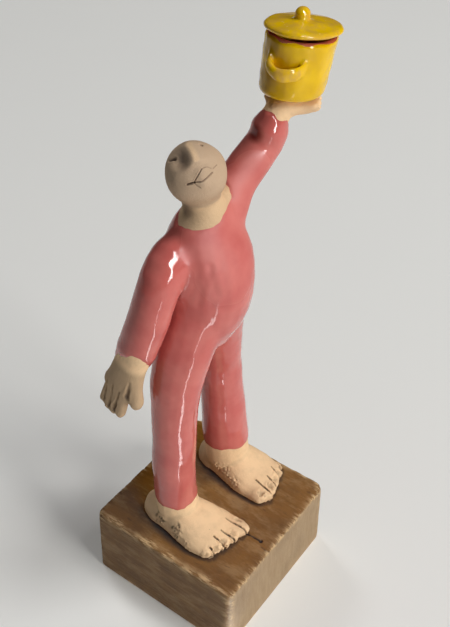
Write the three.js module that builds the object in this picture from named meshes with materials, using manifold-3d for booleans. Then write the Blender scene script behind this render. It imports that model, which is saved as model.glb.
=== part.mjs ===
// A small hand-built ceramic figure on a wooden block, holding a lidded pot up on its left hand.
// Millimetres, +Z up. The origin is on the block's underside, below the middle of its top, and the figure faces -Y.
import * as THREE from "three";
import { mergeVertices } from "three/addons/utils/BufferGeometryUtils.js";
import Module from "manifold-3d";

const wasm = await Module();
wasm.setup();

// The wooden block: its sizes, the radii of its upright corners and of its long edges
// Its right side is sawn aslant and reaches further out at the bottom
const blockWidth = 59;
const blockDepth = 60;
const blockHeight = 28.8;
const blockCorners = { leftFront: 2.8, rightFront: 1.6, rightBack: 1.6, leftBack: 3 };
const blockEdge = 0.8;
const blockSlant = 2;

// The lidded pot: radii and heights along its own axis
const potHeight = 17.8;
const potFootRadius = 9.4;
const potTopRadius = 10.3;
const potFootRounding = 2.6;
const potWall = 1.9;
const potInnerRounding = 1.2;
const potSides = 28;
const rimDip = 0.7;
const rimDipBearing = THREE.MathUtils.degToRad(215);
const rimDipReach = 4;
const lidRadius = 10.85;
const lidEdge = 0.9;
const lidRimHeight = 1.8 * lidEdge;
const lidDome = 1;
const knobRadius = 2.15;
const knobSink = 0.85;
const restGap = 0.3;

// Where the pot's foot stands above the soles, the tilt of its foot and rim, and how far its wall leans
const potFoot = new THREE.Vector3(32.7, -6.5, 150.5);
const potUp = new THREE.Vector3(0.1235, 0, 1).normalize();
const potLean = new THREE.Vector2(0.87, -1.43);

// One strap lug from end to end: the turn about the pot in degrees, the reach from its axis, the height
const lugBearing = THREE.MathUtils.degToRad(190);
const lugHalfWidth = 2.1;
const lugHalfThickness = 0.75;
const lugSections = [
  { turn: -31, reach: 9.1, height: 12 },
  { turn: -17, reach: 12, height: 10 },
  { turn: 0, reach: 13.1, height: 8.9 },
  { turn: 19, reach: 12.1, height: 9.9 },
  { turn: 36, reach: 9.1, height: 12 },
];

// The head: its centre above the soles, its radii, and the way its face looks
const headCentre = new THREE.Vector3(0.6, 2.6, 137);
const headRadius = 8.6;
const faceForward = new THREE.Vector3(-0.58, -0.34, 0.74).normalize();
const faceUp = new THREE.Vector3(0.3, 0.755, 0.58);

// Its features, laid out evenly about the middle of the face: places across and up, and half sizes
const nose = { up: 2.2, half: [1.4, 3.3, 2.4], rise: 0.5 };
const lips = { up: -3.6, half: [3.5, 1.7, 1.3], sink: 1.3 };
const mouthCut = { up: -3.7, width: 7.4, height: 0.45, depth: 2.4 };
const eyeHole = { across: 4, up: 3.2, radius: 0.7 };

// Limb sections: a centre above the soles and two half sizes
// wide runs along the limb's across direction, deep runs at right angles to it
const torso = [
  { at: [0, 2, 82], wide: 11, deep: 9 },
  { at: [0.4, 0.4, 91], wide: 13.2, deep: 12 },
  { at: [0.8, -0.8, 101], wide: 13.2, deep: 13.3 },
  { at: [1, -0.6, 110], wide: 13, deep: 13.1 },
  { at: [1.2, 0.4, 118], wide: 11.8, deep: 10.8 },
  { at: [1.7, 0.6, 124.5], wide: 8, deep: 7.4 },
  { at: [1.5, 1, 128.5], wide: 5.4, deep: 5.4 },
];
const neck = [
  { at: [1.4, 0.6, 122], wide: 6, deep: 5.9 },
  { at: [1.1, 1.2, 128], wide: 5.2, deep: 5.3 },
  { at: [0.8, 2, 134], wide: 5.2, deep: 5.3 },
];
const rightLeg = [
  { at: [-14, 4.3, 9], wide: 7.4, deep: 7.4 },
  { at: [-15, 4.2, 27], wide: 7.1, deep: 7.2 },
  { at: [-14.8, 3.2, 44], wide: 7.1, deep: 7.2 },
  { at: [-14.3, 2.8, 57], wide: 7.2, deep: 7.4 },
  { at: [-12.8, 2.4, 70], wide: 7.7, deep: 8.4 },
  { at: [-9.9, 1.6, 80], wide: 8.3, deep: 9.3 },
  { at: [-6.6, 0.8, 90], wide: 8.4, deep: 10.2 },
  { at: [-3, 0, 100], wide: 8.6, deep: 11 },
];
const leftLeg = [
  { at: [16, 4.9, 9], wide: 8.2, deep: 8 },
  { at: [15.2, 4.9, 22], wide: 8.3, deep: 8.2 },
  { at: [14.6, 5.4, 40], wide: 7.6, deep: 7.4 },
  { at: [13.2, 5.1, 56], wide: 7, deep: 7.2 },
  { at: [11.2, 4.2, 70], wide: 7.4, deep: 7.8 },
  { at: [9.2, 3.2, 80], wide: 8, deep: 8.8 },
  { at: [6.8, 1.8, 90], wide: 8, deep: 10 },
  { at: [4, 0.4, 99], wide: 8.4, deep: 11.4 },
];
const rightArm = [
  { at: [-4, 3, 114.5], wide: 6.6, deep: 6 },
  { at: [-8.8, 3.1, 114.8], wide: 6.6, deep: 6.2 },
  { at: [-13, 3.2, 113], wide: 6.4, deep: 6.1 },
  { at: [-16.2, 3.5, 109], wide: 6.2, deep: 6 },
  { at: [-18.5, 4.2, 103.6], wide: 6.1, deep: 5.8 },
  { at: [-20.5, 5.4, 97], wide: 6.1, deep: 5.7 },
  { at: [-22.2, 7.7, 89.2], wide: 6.1, deep: 5.5 },
  { at: [-23.5, 10.6, 80.5], wide: 6.2, deep: 4.6 },
  { at: [-24.3, 13, 73.5], wide: 7.2, deep: 3.4 },
  { at: [-24.8, 14.8, 67.5], wide: 7.4, deep: 2.7 },
];
const leftArm = [
  { at: [4.5, 0.5, 115], wide: 8, deep: 8 },
  { at: [9.8, 0, 122], wide: 7.1, deep: 6.7 },
  { at: [13.8, -0.6, 127.2], wide: 6, deep: 5.8 },
  { at: [17.4, -1.4, 131], wide: 5.6, deep: 5.6 },
  { at: [21.2, -2.8, 135], wide: 5.5, deep: 5.5 },
  { at: [24.2, -4.2, 138.8], wide: 5.3, deep: 5.3 },
  { at: [25.1, -5.2, 143], wide: 5.5, deep: 5.2 },
];

// One foot: sections from the heel to the toes, as the foot's middle, half width and height
const footSections = [
  { y: 11.2, middle: 0.2, halfWidth: 6.3, height: 10 },
  { y: 5, middle: 0.3, halfWidth: 7.3, height: 13.4 },
  { y: -2, middle: 0.6, halfWidth: 9, height: 12.2 },
  { y: -8, middle: 0.8, halfWidth: 10.2, height: 9 },
  { y: -13.4, middle: 0.8, halfWidth: 9.6, height: 6.2 },
];
const footBellyShare = 0.27;

// Its five toes, from the big one: how far each reaches, its half width, and the cut between neighbours
const toeLengths = [20.2, 19.8, 18.9, 17.5, 15.8];
const toeHalfWidths = [2.7, 1.95, 1.9, 1.8, 1.8];
const toeOverlap = 0.35;
const toeCut = { width: 0.5, length: 7, height: 8, slope: 0.35 };
const footSpots = [
  { x: -14.9, y: 0.6, inner: 1, turn: 0.03, length: 1 },
  { x: 17.1, y: 1, inner: -1, turn: 0.06, length: 0.95 },
];

// Fingers of the hanging hand: root and tip above the soles, from the little finger to the thumb
const hangingFingers = [
  { root: [-24.6, 18.4, 71], tip: [-25, 23.2, 59.6], half: 1.7 },
  { root: [-24.8, 16.6, 69.5], tip: [-25.2, 21.3, 57.4], half: 1.75 },
  { root: [-24.9, 14.6, 69.5], tip: [-25.4, 18.9, 56.6], half: 1.75 },
  { root: [-24.9, 12, 71], tip: [-25.6, 15.8, 57.2], half: 2 },
  { root: [-24.4, 7.8, 77], tip: [-25.2, 8.6, 65.6], half: 2.8 },
];

// The raised hand: its palm, its four fingers from near to far, and its thumb
const fingersAcross = [0.86, 0.51, 0];
const raisedPalm = [
  { at: [24.9, -5.6, 144.3], wide: 4.6, deep: 4.2 },
  { at: [27.8, -5.4, 146.7], wide: 5, deep: 3.6 },
  { at: [31.5, -6.8, 147.8], wide: 5.6, deep: 3 },
  { at: [35, -10.8, 148], wide: 5.2, deep: 2.4 },
];
const raisedFingers = [-1.5, -0.5, 0.5, 1.5].map((place) => ({
  root: [34 + place * 2.1, -9.4 + place * 1.25, 147.9],
  tip: [36.4 + place * 2.1 - Math.abs(place) * 0.3, -13.6 + place * 1.25, 148.7],
  half: 1.5,
}));
const raisedThumb = { root: [29.6, -3.2, 147.8], tip: [29, -1.3, 149.4], half: 1.4 };

/** Bends a capsule into a smooth limb through its sections, with a rounded cap at each end. */
function limb(sections, { across = [1, 0, 0], sides = 16, steps = 11, cap = 1, capRows = 2 } = {}) {
  const centreLine = new THREE.CatmullRomCurve3(sections.map((s) => new THREE.Vector3(...s.at)));
  const sizeLine = new THREE.SplineCurve(sections.map((s) => new THREE.Vector2(s.wide, s.deep)));
  const acrossWish = new THREE.Vector3(...across).normalize();
  const geometry = new THREE.CapsuleGeometry(1, 1, capRows, sides, steps);
  const spots = geometry.attributes.position;
  for (let i = 0; i < spots.count; i += 1) {
    const along = THREE.MathUtils.clamp(spots.getY(i) + 0.5, 0, 1);
    const past = spots.getY(i) + 0.5 - along;
    const size = sizeLine.getPoint(along);
    const ahead = centreLine.getTangent(along);
    const deepWay = new THREE.Vector3().crossVectors(ahead, acrossWish).normalize();
    const wideWay = new THREE.Vector3().crossVectors(deepWay, ahead);
    const spot = centreLine.getPoint(along);
    spot.addScaledVector(wideWay, spots.getX(i) * size.x);
    spot.addScaledVector(deepWay, spots.getZ(i) * -size.y);
    spot.addScaledVector(ahead, past * cap * Math.min(size.x, size.y));
    spots.setXYZ(i, spot.x, spot.y, spot.z);
  }
  return geometry;
}

/** Turns a closed geometry into a solid that can be joined and cut. */
function solid(geometry) {
  const bare = geometry.clone();
  bare.deleteAttribute("normal");
  bare.deleteAttribute("uv");
  const merged = mergeVertices(bare, 1e-4);
  const corners = merged.index.array;
  const kept = [];
  for (let i = 0; i < corners.length; i += 3) {
    const [a, b, c] = corners.slice(i, i + 3);
    if (a !== b && b !== c && c !== a) {
      kept.push(a, b, c);
    }
  }
  const vertProperties = new Float32Array(merged.attributes.position.array);
  return new wasm.Manifold(new wasm.Mesh({ numProp: 3, vertProperties, triVerts: new Uint32Array(kept) }));
}

/** Joins closed geometries into one solid. */
function joined(geometries) {
  return geometries.map(solid).reduce((whole, piece) => whole.add(piece));
}

/** Gives a solid back as a geometry. */
function geometryOf(shape) {
  const mesh = shape.getMesh();
  const geometry = new THREE.BufferGeometry();
  geometry.setAttribute("position", new THREE.Float32BufferAttribute(mesh.vertProperties, 3));
  geometry.setIndex(Array.from(mesh.triVerts));
  const flat = geometry.toNonIndexed();
  flat.computeVertexNormals();
  return flat;
}

/** Spins a profile of radius and height pairs about the Z axis. */
function turned(profile) {
  return new THREE.LatheGeometry(profile, potSides).rotateX(Math.PI / 2);
}

/** Points of an arc in a profile, from one angle to another in degrees. */
function arc(radius, height, size, from, to, count) {
  return Array.from({ length: count + 1 }, (_, i) => {
    const angle = THREE.MathUtils.degToRad(from + ((to - from) * i) / count);
    return new THREE.Vector2(radius + size * Math.cos(angle), height + size * Math.sin(angle));
  });
}

/** Leans the pot's wall aside while its foot and rim stay level. */
function leaning(geometry) {
  const lean = new THREE.Matrix4().set(
    1, 0, potLean.x / potHeight, 0,
    0, 1, potLean.y / potHeight, 0,
    0, 0, 1, 0,
    0, 0, 0, 1,
  );
  return geometry.applyMatrix4(lean);
}

/** The sawn block, with rounded upright corners and softened edges. */
function woodenBlock() {
  const halfWidth = blockWidth / 2 - blockEdge;
  const halfDepth = blockDepth / 2 - blockEdge;
  const { leftFront, rightFront, rightBack, leftBack } = blockCorners;
  const outline = new THREE.Shape();
  outline.absarc(halfWidth - leftFront, -halfDepth + leftFront, leftFront, -Math.PI / 2, 0);
  outline.absarc(halfWidth - leftBack, halfDepth - leftBack, leftBack, 0, Math.PI / 2);
  outline.absarc(-halfWidth + rightBack, halfDepth - rightBack, rightBack, Math.PI / 2, Math.PI);
  outline.absarc(-halfWidth + rightFront, -halfDepth + rightFront, rightFront, Math.PI, 1.5 * Math.PI);
  outline.closePath();
  const geometry = new THREE.ExtrudeGeometry(outline, {
    depth: blockHeight - 2 * blockEdge,
    bevelThickness: blockEdge,
    bevelSize: blockEdge,
    bevelSegments: 2,
    curveSegments: 4,
  });
  geometry.translate(0, 0, blockEdge);
  const spots = geometry.attributes.position;
  for (let i = 0; i < spots.count; i += 1) {
    if (spots.getX(i) < 0) {
      spots.setX(i, spots.getX(i) - blockSlant * (1 - spots.getZ(i) / blockHeight));
    }
  }
  return geometry;
}

/** A bare foot standing on Z = 0 at its spot, its big toe towards inner times +X. */
function foot({ x, y, inner, turn, length }) {
  const sections = footSections.map((s) => ({
    at: [inner * s.middle, s.y, s.height * footBellyShare],
    wide: s.halfWidth,
    deep: s.height * (1 - footBellyShare),
  }));
  const pieces = [limb(sections, { sides: 18, steps: 8, cap: 0.9 })];
  const cuts = [];
  const ball = footSections.at(-1);
  let edge = ball.middle + ball.halfWidth;
  toeLengths.forEach((reach, i) => {
    const half = toeHalfWidths[i];
    const middle = inner * (edge - half);
    const ends = [
      { at: [middle, -reach + 7, 2.5], wide: half, deep: 2.7 },
      { at: [middle, -reach + 1.5, 2], wide: half, deep: 2.3 },
    ];
    pieces.push(limb(ends, { sides: 8, steps: 1, cap: 0.75 }));
    edge -= 2 * half - toeOverlap;
    if (i < toeLengths.length - 1) {
      const cut = new THREE.BoxGeometry(toeCut.width, toeCut.length, toeCut.height);
      cut.rotateX(toeCut.slope);
      cuts.push(cut.translate(inner * (edge - toeOverlap / 2), -reach + 1.6, toeCut.height - 2));
    }
  });
  const ground = new THREE.BoxGeometry(blockWidth, blockDepth, blockHeight).translate(0, 0, -blockHeight / 2);
  const place = (geometry) => geometry.scale(1, length, 1).rotateZ(turn).translate(x, y, 0);
  return joined(pieces.map(place)).subtract(joined([...cuts, ground].map(place)));
}

/** A finger from its root to its tip. */
function finger({ root, tip, half }) {
  const ends = [
    { at: root, wide: half, deep: half },
    { at: tip, wide: half * 0.85, deep: half * 0.85 },
  ];
  return limb(ends, { sides: 8, steps: 1 });
}

/** The ball-shaped head, with a pinched nose, two poked eyes and a cut mouth, evenly laid out. */
function head() {
  const side = new THREE.Vector3().crossVectors(faceUp, faceForward).normalize();
  const upright = new THREE.Vector3().crossVectors(faceForward, side);
  const face = new THREE.Matrix4().makeBasis(side, upright, faceForward).setPosition(headCentre);
  const place = (geometry) => geometry.applyMatrix4(face);
  const ball = (half, columns, rows) => new THREE.SphereGeometry(1, columns, rows).scale(...half);
  const skull = ball([headRadius, headRadius * 1.03, headRadius * 0.98], 22, 14);
  const ridge = ball(nose.half, 10, 8).translate(0, nose.up, headRadius - nose.rise);
  const mouth = ball(lips.half, 12, 8).translate(0, lips.up, headRadius - lips.sink);
  const { width, height, depth } = mouthCut;
  const slit = new THREE.BoxGeometry(width, height, depth).translate(0, mouthCut.up, headRadius - 0.3);
  const eyes = [-1, 1].map((mirror) => {
    const spot = new THREE.Vector3(mirror * eyeHole.across, eyeHole.up, 0);
    spot.z = Math.sqrt(headRadius ** 2 - spot.lengthSq()) - eyeHole.radius / 2;
    return new THREE.SphereGeometry(eyeHole.radius, 8, 6).translate(...spot);
  });
  return joined([skull, ridge, mouth].map(place)).subtract(joined([slit, ...eyes].map(place)));
}

/** The whole figure as one solid, its soles on Z = 0, with a seat for the pot's foot in its palm. */
function figure() {
  const body = joined([
    limb(torso, { sides: 22, steps: 13, cap: 0.45 }),
    limb(neck, { steps: 3 }),
    limb(rightLeg),
    limb(leftLeg),
    limb(rightArm, { across: [0, 1, 0], steps: 13 }),
    limb(leftArm, { across: fingersAcross }),
    limb(raisedPalm, { across: fingersAcross, sides: 14, steps: 5 }),
    ...hangingFingers.map(finger),
    ...raisedFingers.map(finger),
    finger(raisedThumb),
  ]);
  const seat = turned([
    new THREE.Vector2(0, -restGap),
    ...arc(potFootRadius - potFootRounding, potFootRounding, potFootRounding + restGap, -90, 0, 4),
    new THREE.Vector2(0, potHeight),
  ]);
  seat.applyQuaternion(new THREE.Quaternion().setFromUnitVectors(new THREE.Vector3(0, 0, 1), potUp));
  seat.translate(...potFoot);
  const whole = footSpots.map(foot).reduce((joint, part) => joint.add(part), body.add(head()));
  return geometryOf(whole.subtract(solid(seat)));
}

/** The hollow pot with its uneven rim and two strap lugs, its foot on Z = 0. */
function pot() {
  const lip = potWall / 2;
  const innerCorner = potFootRadius - potWall - potInnerRounding;
  const bowl = turned([
    new THREE.Vector2(0, 0),
    ...arc(potFootRadius - potFootRounding, potFootRounding, potFootRounding, -90, 0, 3),
    ...arc(potTopRadius - lip, potHeight - lip, lip, 0, 180, 4),
    ...arc(innerCorner, potWall + potInnerRounding, potInnerRounding, 0, -90, 2),
    new THREE.Vector2(0, potWall),
  ]);
  const spots = bowl.attributes.position;
  for (let i = 0; i < spots.count; i += 1) {
    const nearRim = THREE.MathUtils.smoothstep(spots.getZ(i), potHeight - rimDipReach, potHeight - lip);
    const bearing = Math.atan2(spots.getY(i), spots.getX(i));
    const share = (0.5 + 0.5 * Math.cos(bearing - rimDipBearing)) ** 2;
    spots.setZ(i, spots.getZ(i) - nearRim * rimDip * share);
  }
  const strapSections = lugSections.map(({ turn, reach, height }) => {
    const angle = THREE.MathUtils.degToRad(turn);
    const at = [reach * Math.cos(angle), reach * Math.sin(angle), height];
    return { at, wide: lugHalfWidth, deep: lugHalfThickness };
  });
  const strap = limb(strapSections, { across: [0, 0, 1], sides: 10, steps: 8 });
  const lugs = [lugBearing, lugBearing + Math.PI].map((bearing) => strap.clone().rotateZ(bearing));
  return geometryOf(joined([bowl, ...lugs].map(leaning)));
}

/** The low domed lid with its ball knob, its underside on Z = 0. */
function lid() {
  const onDome = (share) => {
    const rise = lidDome * Math.cos((share * Math.PI) / 2);
    return new THREE.Vector2(share * (lidRadius - lidEdge), lidRimHeight + rise);
  };
  const knobCentre = lidRimHeight + lidDome + knobRadius - knobSink;
  return turned([
    new THREE.Vector2(0, 0),
    ...arc(lidRadius - lidEdge, lidEdge, lidEdge, -90, 60, 4),
    ...[0.8, 0.6, 0.4].map(onDome),
    ...arc(0, knobCentre, knobRadius, -35, 70, 5),
    new THREE.Vector2(0, knobCentre + knobRadius),
  ]);
}

/** Wraps a geometry as a named mesh with its finish. */
function piece(name, geometry, color, roughness) {
  const mesh = new THREE.Mesh(geometry, new THREE.MeshStandardMaterial({ color, roughness, metalness: 0 }));
  mesh.name = name;
  return mesh;
}

const group = new THREE.Group();
group.add(piece("wooden_block", woodenBlock(), 0x8c6742, 0.75));

const onBlock = new THREE.Group();
onBlock.position.z = blockHeight;
onBlock.add(piece("figure", figure(), 0xbe6964, 0.25));

const onHand = new THREE.Group();
onHand.position.copy(potFoot);
onHand.quaternion.setFromUnitVectors(new THREE.Vector3(0, 0, 1), potUp);
onHand.add(piece("pot", pot(), 0xe1b40f, 0.15));
const lidPiece = piece("lid", lid(), 0xe1b40f, 0.15);
lidPiece.position.set(potLean.x, potLean.y, potHeight + restGap);
onHand.add(lidPiece);
onBlock.add(onHand);
group.add(onBlock);

export default group;
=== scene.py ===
"""The looks of a small glazed clay figure that stands on a wooden block and holds up a lidded pot.

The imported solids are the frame: every piece here is modelled around them, in the same place.
Sizes are millimetres and places are in the row frame. Heights above the soles start at the block's top.
"""

import logging
import math
from dataclasses import dataclass
from enum import Enum

import bmesh
import bpy
import numpy as np
from mathutils import Matrix, Vector

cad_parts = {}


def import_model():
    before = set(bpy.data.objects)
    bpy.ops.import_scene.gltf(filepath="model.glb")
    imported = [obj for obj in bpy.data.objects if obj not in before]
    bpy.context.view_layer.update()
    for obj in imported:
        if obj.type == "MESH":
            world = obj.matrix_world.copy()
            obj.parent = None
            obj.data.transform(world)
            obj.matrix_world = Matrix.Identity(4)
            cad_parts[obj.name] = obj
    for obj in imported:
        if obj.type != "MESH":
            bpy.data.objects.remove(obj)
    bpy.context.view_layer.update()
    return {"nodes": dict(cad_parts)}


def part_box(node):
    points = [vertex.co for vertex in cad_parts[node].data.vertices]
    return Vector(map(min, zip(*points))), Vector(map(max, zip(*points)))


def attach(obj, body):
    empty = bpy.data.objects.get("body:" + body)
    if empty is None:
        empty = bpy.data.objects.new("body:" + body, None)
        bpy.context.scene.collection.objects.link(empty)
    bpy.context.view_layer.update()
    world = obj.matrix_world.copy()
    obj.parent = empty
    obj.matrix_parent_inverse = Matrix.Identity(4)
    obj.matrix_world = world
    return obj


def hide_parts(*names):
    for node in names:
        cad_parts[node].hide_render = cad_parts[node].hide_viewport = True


Array = np.ndarray
Socket = bpy.types.NodeSocket
Thing = bpy.types.Object
Tint = tuple[int, int, int]
Pair = tuple[float, float]
Spot = tuple[float, float, float]

MM = 0.001
BODY = "root"
FAR = 9.0
WAVES = 18

log = logging.getLogger("figurine")


class Light(Enum):
    """What a lamp panel does."""

    BODY = "lights surfaces"
    GLOSS = "shows in glossy surfaces only"


class Slot(Enum):
    """The record's material slots."""

    PINK = "pink_glaze"
    YELLOW = "yellow_glaze"
    WOOD = "wood"


def colour(*screen: float) -> tuple[float, ...]:
    """Turns a screen colour, its channels from 0 to 255, into the linear one that a shader takes."""
    shares = (channel / 255 for channel in screen)
    return (*(s / 12.92 if s <= 0.04045 else ((s + 0.055) / 1.055) ** 2.4 for s in shares), 1.0)


def eased(values: Array, low: float, high: float) -> Array:
    """Rises smoothly from 0 at low to 1 at high, or falls where high is the lower of the two."""
    share = np.clip((values - low) / (high - low), 0, 1)
    return share * share * (3 - 2 * share)


def unit(vectors: Spot | Array) -> Array:
    """Scales a vector, or each row of several, to length one."""
    vectors = np.asarray(vectors, float)
    return vectors / np.linalg.norm(vectors, axis=-1, keepdims=True)


def through(knots: tuple, count: int) -> Array:
    """Follows a smooth curve through knots.

    Args:
        knots: Points or sets of sizes, all of one length.
        count: How many rows come back.

    Returns:
        Rows evenly spaced from the first knot to the last.
    """
    rows = np.asarray(knots, float)
    padded = np.vstack([2 * rows[0] - rows[1], rows, 2 * rows[-1] - rows[-2]])
    spots = np.linspace(0, len(rows) - 1, count)
    starts = np.minimum(spots.astype(int), len(rows) - 2)
    share = (spots - starts)[:, None]
    before, here, after, beyond = (padded[starts + i] for i in range(4))
    bend = 2 * before - 5 * here + 4 * after - beyond
    twist = 3 * here - 3 * after + beyond - before
    return here + 0.5 * share * ((after - before) + share * (bend + share * twist))


def line_distance(spots: Array, line: tuple | Array) -> Array:
    """Measures how far points are from a line of straight stretches.

    Args:
        spots: Rows of two or three coordinates.
        line: The line's corners, in as many coordinates.

    Returns:
        The distance of each point.
    """
    line = np.asarray(line, float)
    nearest = np.full(len(spots), np.inf)
    for start, run in zip(line, np.diff(line, axis=0)):
        share = np.clip((spots - start) @ run / (run @ run), 0, 1)
        distance = np.linalg.norm(spots - start - share[:, None] * run, axis=1)
        nearest = np.minimum(nearest, distance)
    return nearest


def ripple(points: Array, length: float, seed: int) -> Array:
    """Reads soft seeded unevenness, made of waves that run every way.

    Args:
        points: Rows of three coordinates in millimetres.
        length: About how long the waves are.
        seed: Which unevenness it is.

    Returns:
        One number a point, mostly between -2 and 2.
    """
    random = np.random.default_rng(seed)
    ways = unit(random.normal(size=(WAVES, 3)))
    ways *= random.uniform(0.7, 1.4, (WAVES, 1)) * 2 * math.pi / length
    starts = random.uniform(0, 2 * math.pi, WAVES)
    return np.sin(points @ ways.T + starts).sum(axis=1) / math.sqrt(WAVES / 2)


def mesh_of(shape: bmesh.types.BMesh) -> bpy.types.Mesh:
    """Turns a shape into a mesh.

    Args:
        shape: The shape, which is freed.

    Returns:
        The new mesh.
    """
    mesh = bpy.data.meshes.new("shape")
    shape.to_mesh(mesh)
    shape.free()
    return mesh


def added(name: str, data: bpy.types.ID) -> Thing:
    """Adds an object to the scene.

    Args:
        name: Its name.
        data: Its mesh, lamp or lens.

    Returns:
        The object.
    """
    made = bpy.data.objects.new(name, data)
    bpy.context.scene.collection.objects.link(made)
    return made


class Clay:
    """A dense closed skin in millimetres whose points are pressed, filled and cut like clay."""

    def __init__(self, mesh: bpy.types.Mesh) -> None:
        """Takes a mesh over, in millimetres."""
        self.mesh = mesh
        self.read()

    @classmethod
    def copied(cls, node: Thing, voxel: float) -> "Clay":
        """Copies a node's solid and covers it with small even faces.

        Args:
            node: A node of the frame, which stays as it is.
            voxel: The size of the faces.

        Returns:
            The new skin.
        """
        shape = bmesh.new()
        shape.from_mesh(node.data)
        bmesh.ops.scale(shape, vec=(1 / MM, 1 / MM, 1 / MM), verts=shape.verts)
        bmesh.ops.remove_doubles(shape, verts=shape.verts, dist=MM)
        return cls.covered(shape, voxel)

    @classmethod
    def covered(cls, shape: bmesh.types.BMesh, voxel: float) -> "Clay":
        """Covers a closed shape, or several that overlap, with one skin of small even faces.

        Args:
            shape: The shape in millimetres, which is freed.
            voxel: The size of the faces.

        Returns:
            The new skin.
        """
        mesh = mesh_of(shape)
        holder = added("rough", mesh)
        remesh = holder.modifiers.new("skin", "REMESH")
        remesh.mode = "VOXEL"
        remesh.voxel_size = voxel
        graph = bpy.context.evaluated_depsgraph_get()
        skin = bpy.data.meshes.new_from_object(holder.evaluated_get(graph))
        bpy.data.objects.remove(holder)
        bpy.data.meshes.remove(mesh)
        return cls(skin)

    def read(self) -> None:
        """Reads points, edges and triangles from the mesh, and starts with no point darkened, neither by
        soiling nor by painted shade.
        """
        count = len(self.mesh.vertices)
        flat = np.empty(count * 3, np.float32)
        self.mesh.vertices.foreach_get("co", flat)
        self.points = flat.reshape(-1, 3).astype(float)
        ends = np.empty(len(self.mesh.edges) * 2, np.int32)
        self.mesh.edges.foreach_get("vertices", ends)
        self.ends = ends.reshape(-1, 2)
        self.mesh.calc_loop_triangles()
        corners = np.empty(len(self.mesh.loop_triangles) * 3, np.int32)
        self.mesh.loop_triangles.foreach_get("vertices", corners)
        self.corners = corners.reshape(-1, 3)
        self.neighbours = np.maximum(np.bincount(self.ends.ravel(), minlength=count), 1)
        self.dirt_and_shade = np.zeros(count)

    def write(self) -> None:
        """Puts the points back into the mesh."""
        self.mesh.vertices.foreach_set("co", self.points.astype(np.float32).ravel())
        self.mesh.update()

    def around(self, values: Array) -> Array:
        """Averages values over each point's neighbours.

        Args:
            values: One row a point.

        Returns:
            The averages, in the shape of values.
        """
        first, second = self.ends.T
        size = len(values)
        sums = [
            np.bincount(first, column[second], size) + np.bincount(second, column[first], size)
            for column in values.T
        ]
        return (np.array(sums) / self.neighbours).T

    def normals(self) -> Array:
        """Works out the outward direction at each point.

        Returns:
            A row of length one a point.
        """
        a, b, c = (self.points[self.corners[:, i]] for i in range(3))
        faces = np.cross(b - a, c - a)
        total = np.zeros_like(self.points)
        for corner in self.corners.T:
            for axis in range(3):
                total[:, axis] += np.bincount(corner, faces[:, axis], len(self.points))
        return total / np.maximum(np.linalg.norm(total, axis=1), 1e-12)[:, None]

    def smooth(self, rounds: int, share: Array | float = 1.0, back: float = -0.52) -> None:
        """Evens the skin out, and keeps its volume unless it isn't stepped back.

        Args:
            rounds: How often it is evened.
            share: How much each point follows, from 0 to 1.
            back: The step back after each step, 0 to let bumps shrink away.
        """
        follow = np.broadcast_to(share, len(self.points))[:, None]
        for _ in range(rounds):
            for step in (0.5, back) if back else (0.5,):
                self.points += step * follow * (self.around(self.points) - self.points)

    def fill(self, rounds: int, share: Array | float = 1.0) -> None:
        """Fills creases and leaves ridges, as a wet finger does.

        Args:
            rounds: How often, which sets how wide the filling gets.
            share: How much each point follows, from 0 to 1.
        """
        for _ in range(rounds):
            out = self.normals()
            rise = ((self.around(self.points) - self.points) * out).sum(axis=1)
            self.points += (0.6 * share * np.maximum(rise, 0))[:, None] * out

    def move(self, height: Array) -> None:
        """Moves each point outwards by its height."""
        self.points += height[:, None] * self.normals()

    def refine(self, where: Array) -> None:
        """Splits the faces whose points are all marked.

        Args:
            where: True for each marked point.
        """
        self.write()
        shape = bmesh.new()
        shape.from_mesh(self.mesh)
        shape.edges.ensure_lookup_table()
        edges = [shape.edges[i] for i in np.flatnonzero(where[self.ends].all(axis=1))]
        bmesh.ops.subdivide_edges(shape, edges=edges, cuts=1, use_grid_fill=True)
        shape.to_mesh(self.mesh)
        shape.free()
        self.read()

    def near(self, centre: Spot | Array, inner: float, outer: float) -> Array:
        """Marks a soft ball: 1 up to its inner distance from the centre and 0 from its outer one on."""
        return eased(np.linalg.norm(self.points - np.asarray(centre), axis=1), outer, inner)

    def cut(self, distance: Array, half: float, depth: float, burr: float = 0.15) -> Array:
        """Draws a pointed tool through the skin.

        Args:
            distance: How far each point is from the tool's path.
            half: Half the cut's width.
            depth: How deep it goes.
            burr: The share of the depth that rises beside the cut.

        Returns:
            How deep the cut is at each point, from 0 to 1.
        """
        share = np.clip(1 - distance / half, 0, 1)
        beside = np.clip(1 - np.abs(distance / half - 1.4) / 0.6, 0, 1)
        self.move(depth * (burr * eased(beside, 0, 1) - share))
        return share

    def darken(self, share: Array) -> None:
        """Darkens each point at least as much as its share: soiling and darkened cuts, and painted shade.
        """
        self.dirt_and_shade = np.maximum(self.dirt_and_shade, share)

    def hollows(self, reach: int, depth: float) -> Array:
        """Measures how deep each point lies in a crease.

        Args:
            reach: How many rounds of evening give the surface to compare with.
            depth: The depth that counts as 1.

        Returns:
            A share from -1 on a ridge to 1 in a crease.
        """
        kept = self.points.copy()
        for _ in range(reach):
            self.points += 0.6 * (self.around(self.points) - self.points)
        lift = ((self.points - kept) * self.normals()).sum(axis=1)
        self.points = kept
        return np.clip(lift / depth, -1, 1)

    def paint(self, name: str, values: Array) -> None:
        """Stores a number a point for the material to read."""
        attribute = self.mesh.attributes.new(name, "FLOAT", "POINT")
        attribute.data.foreach_set("value", values.astype(np.float32))

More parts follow.
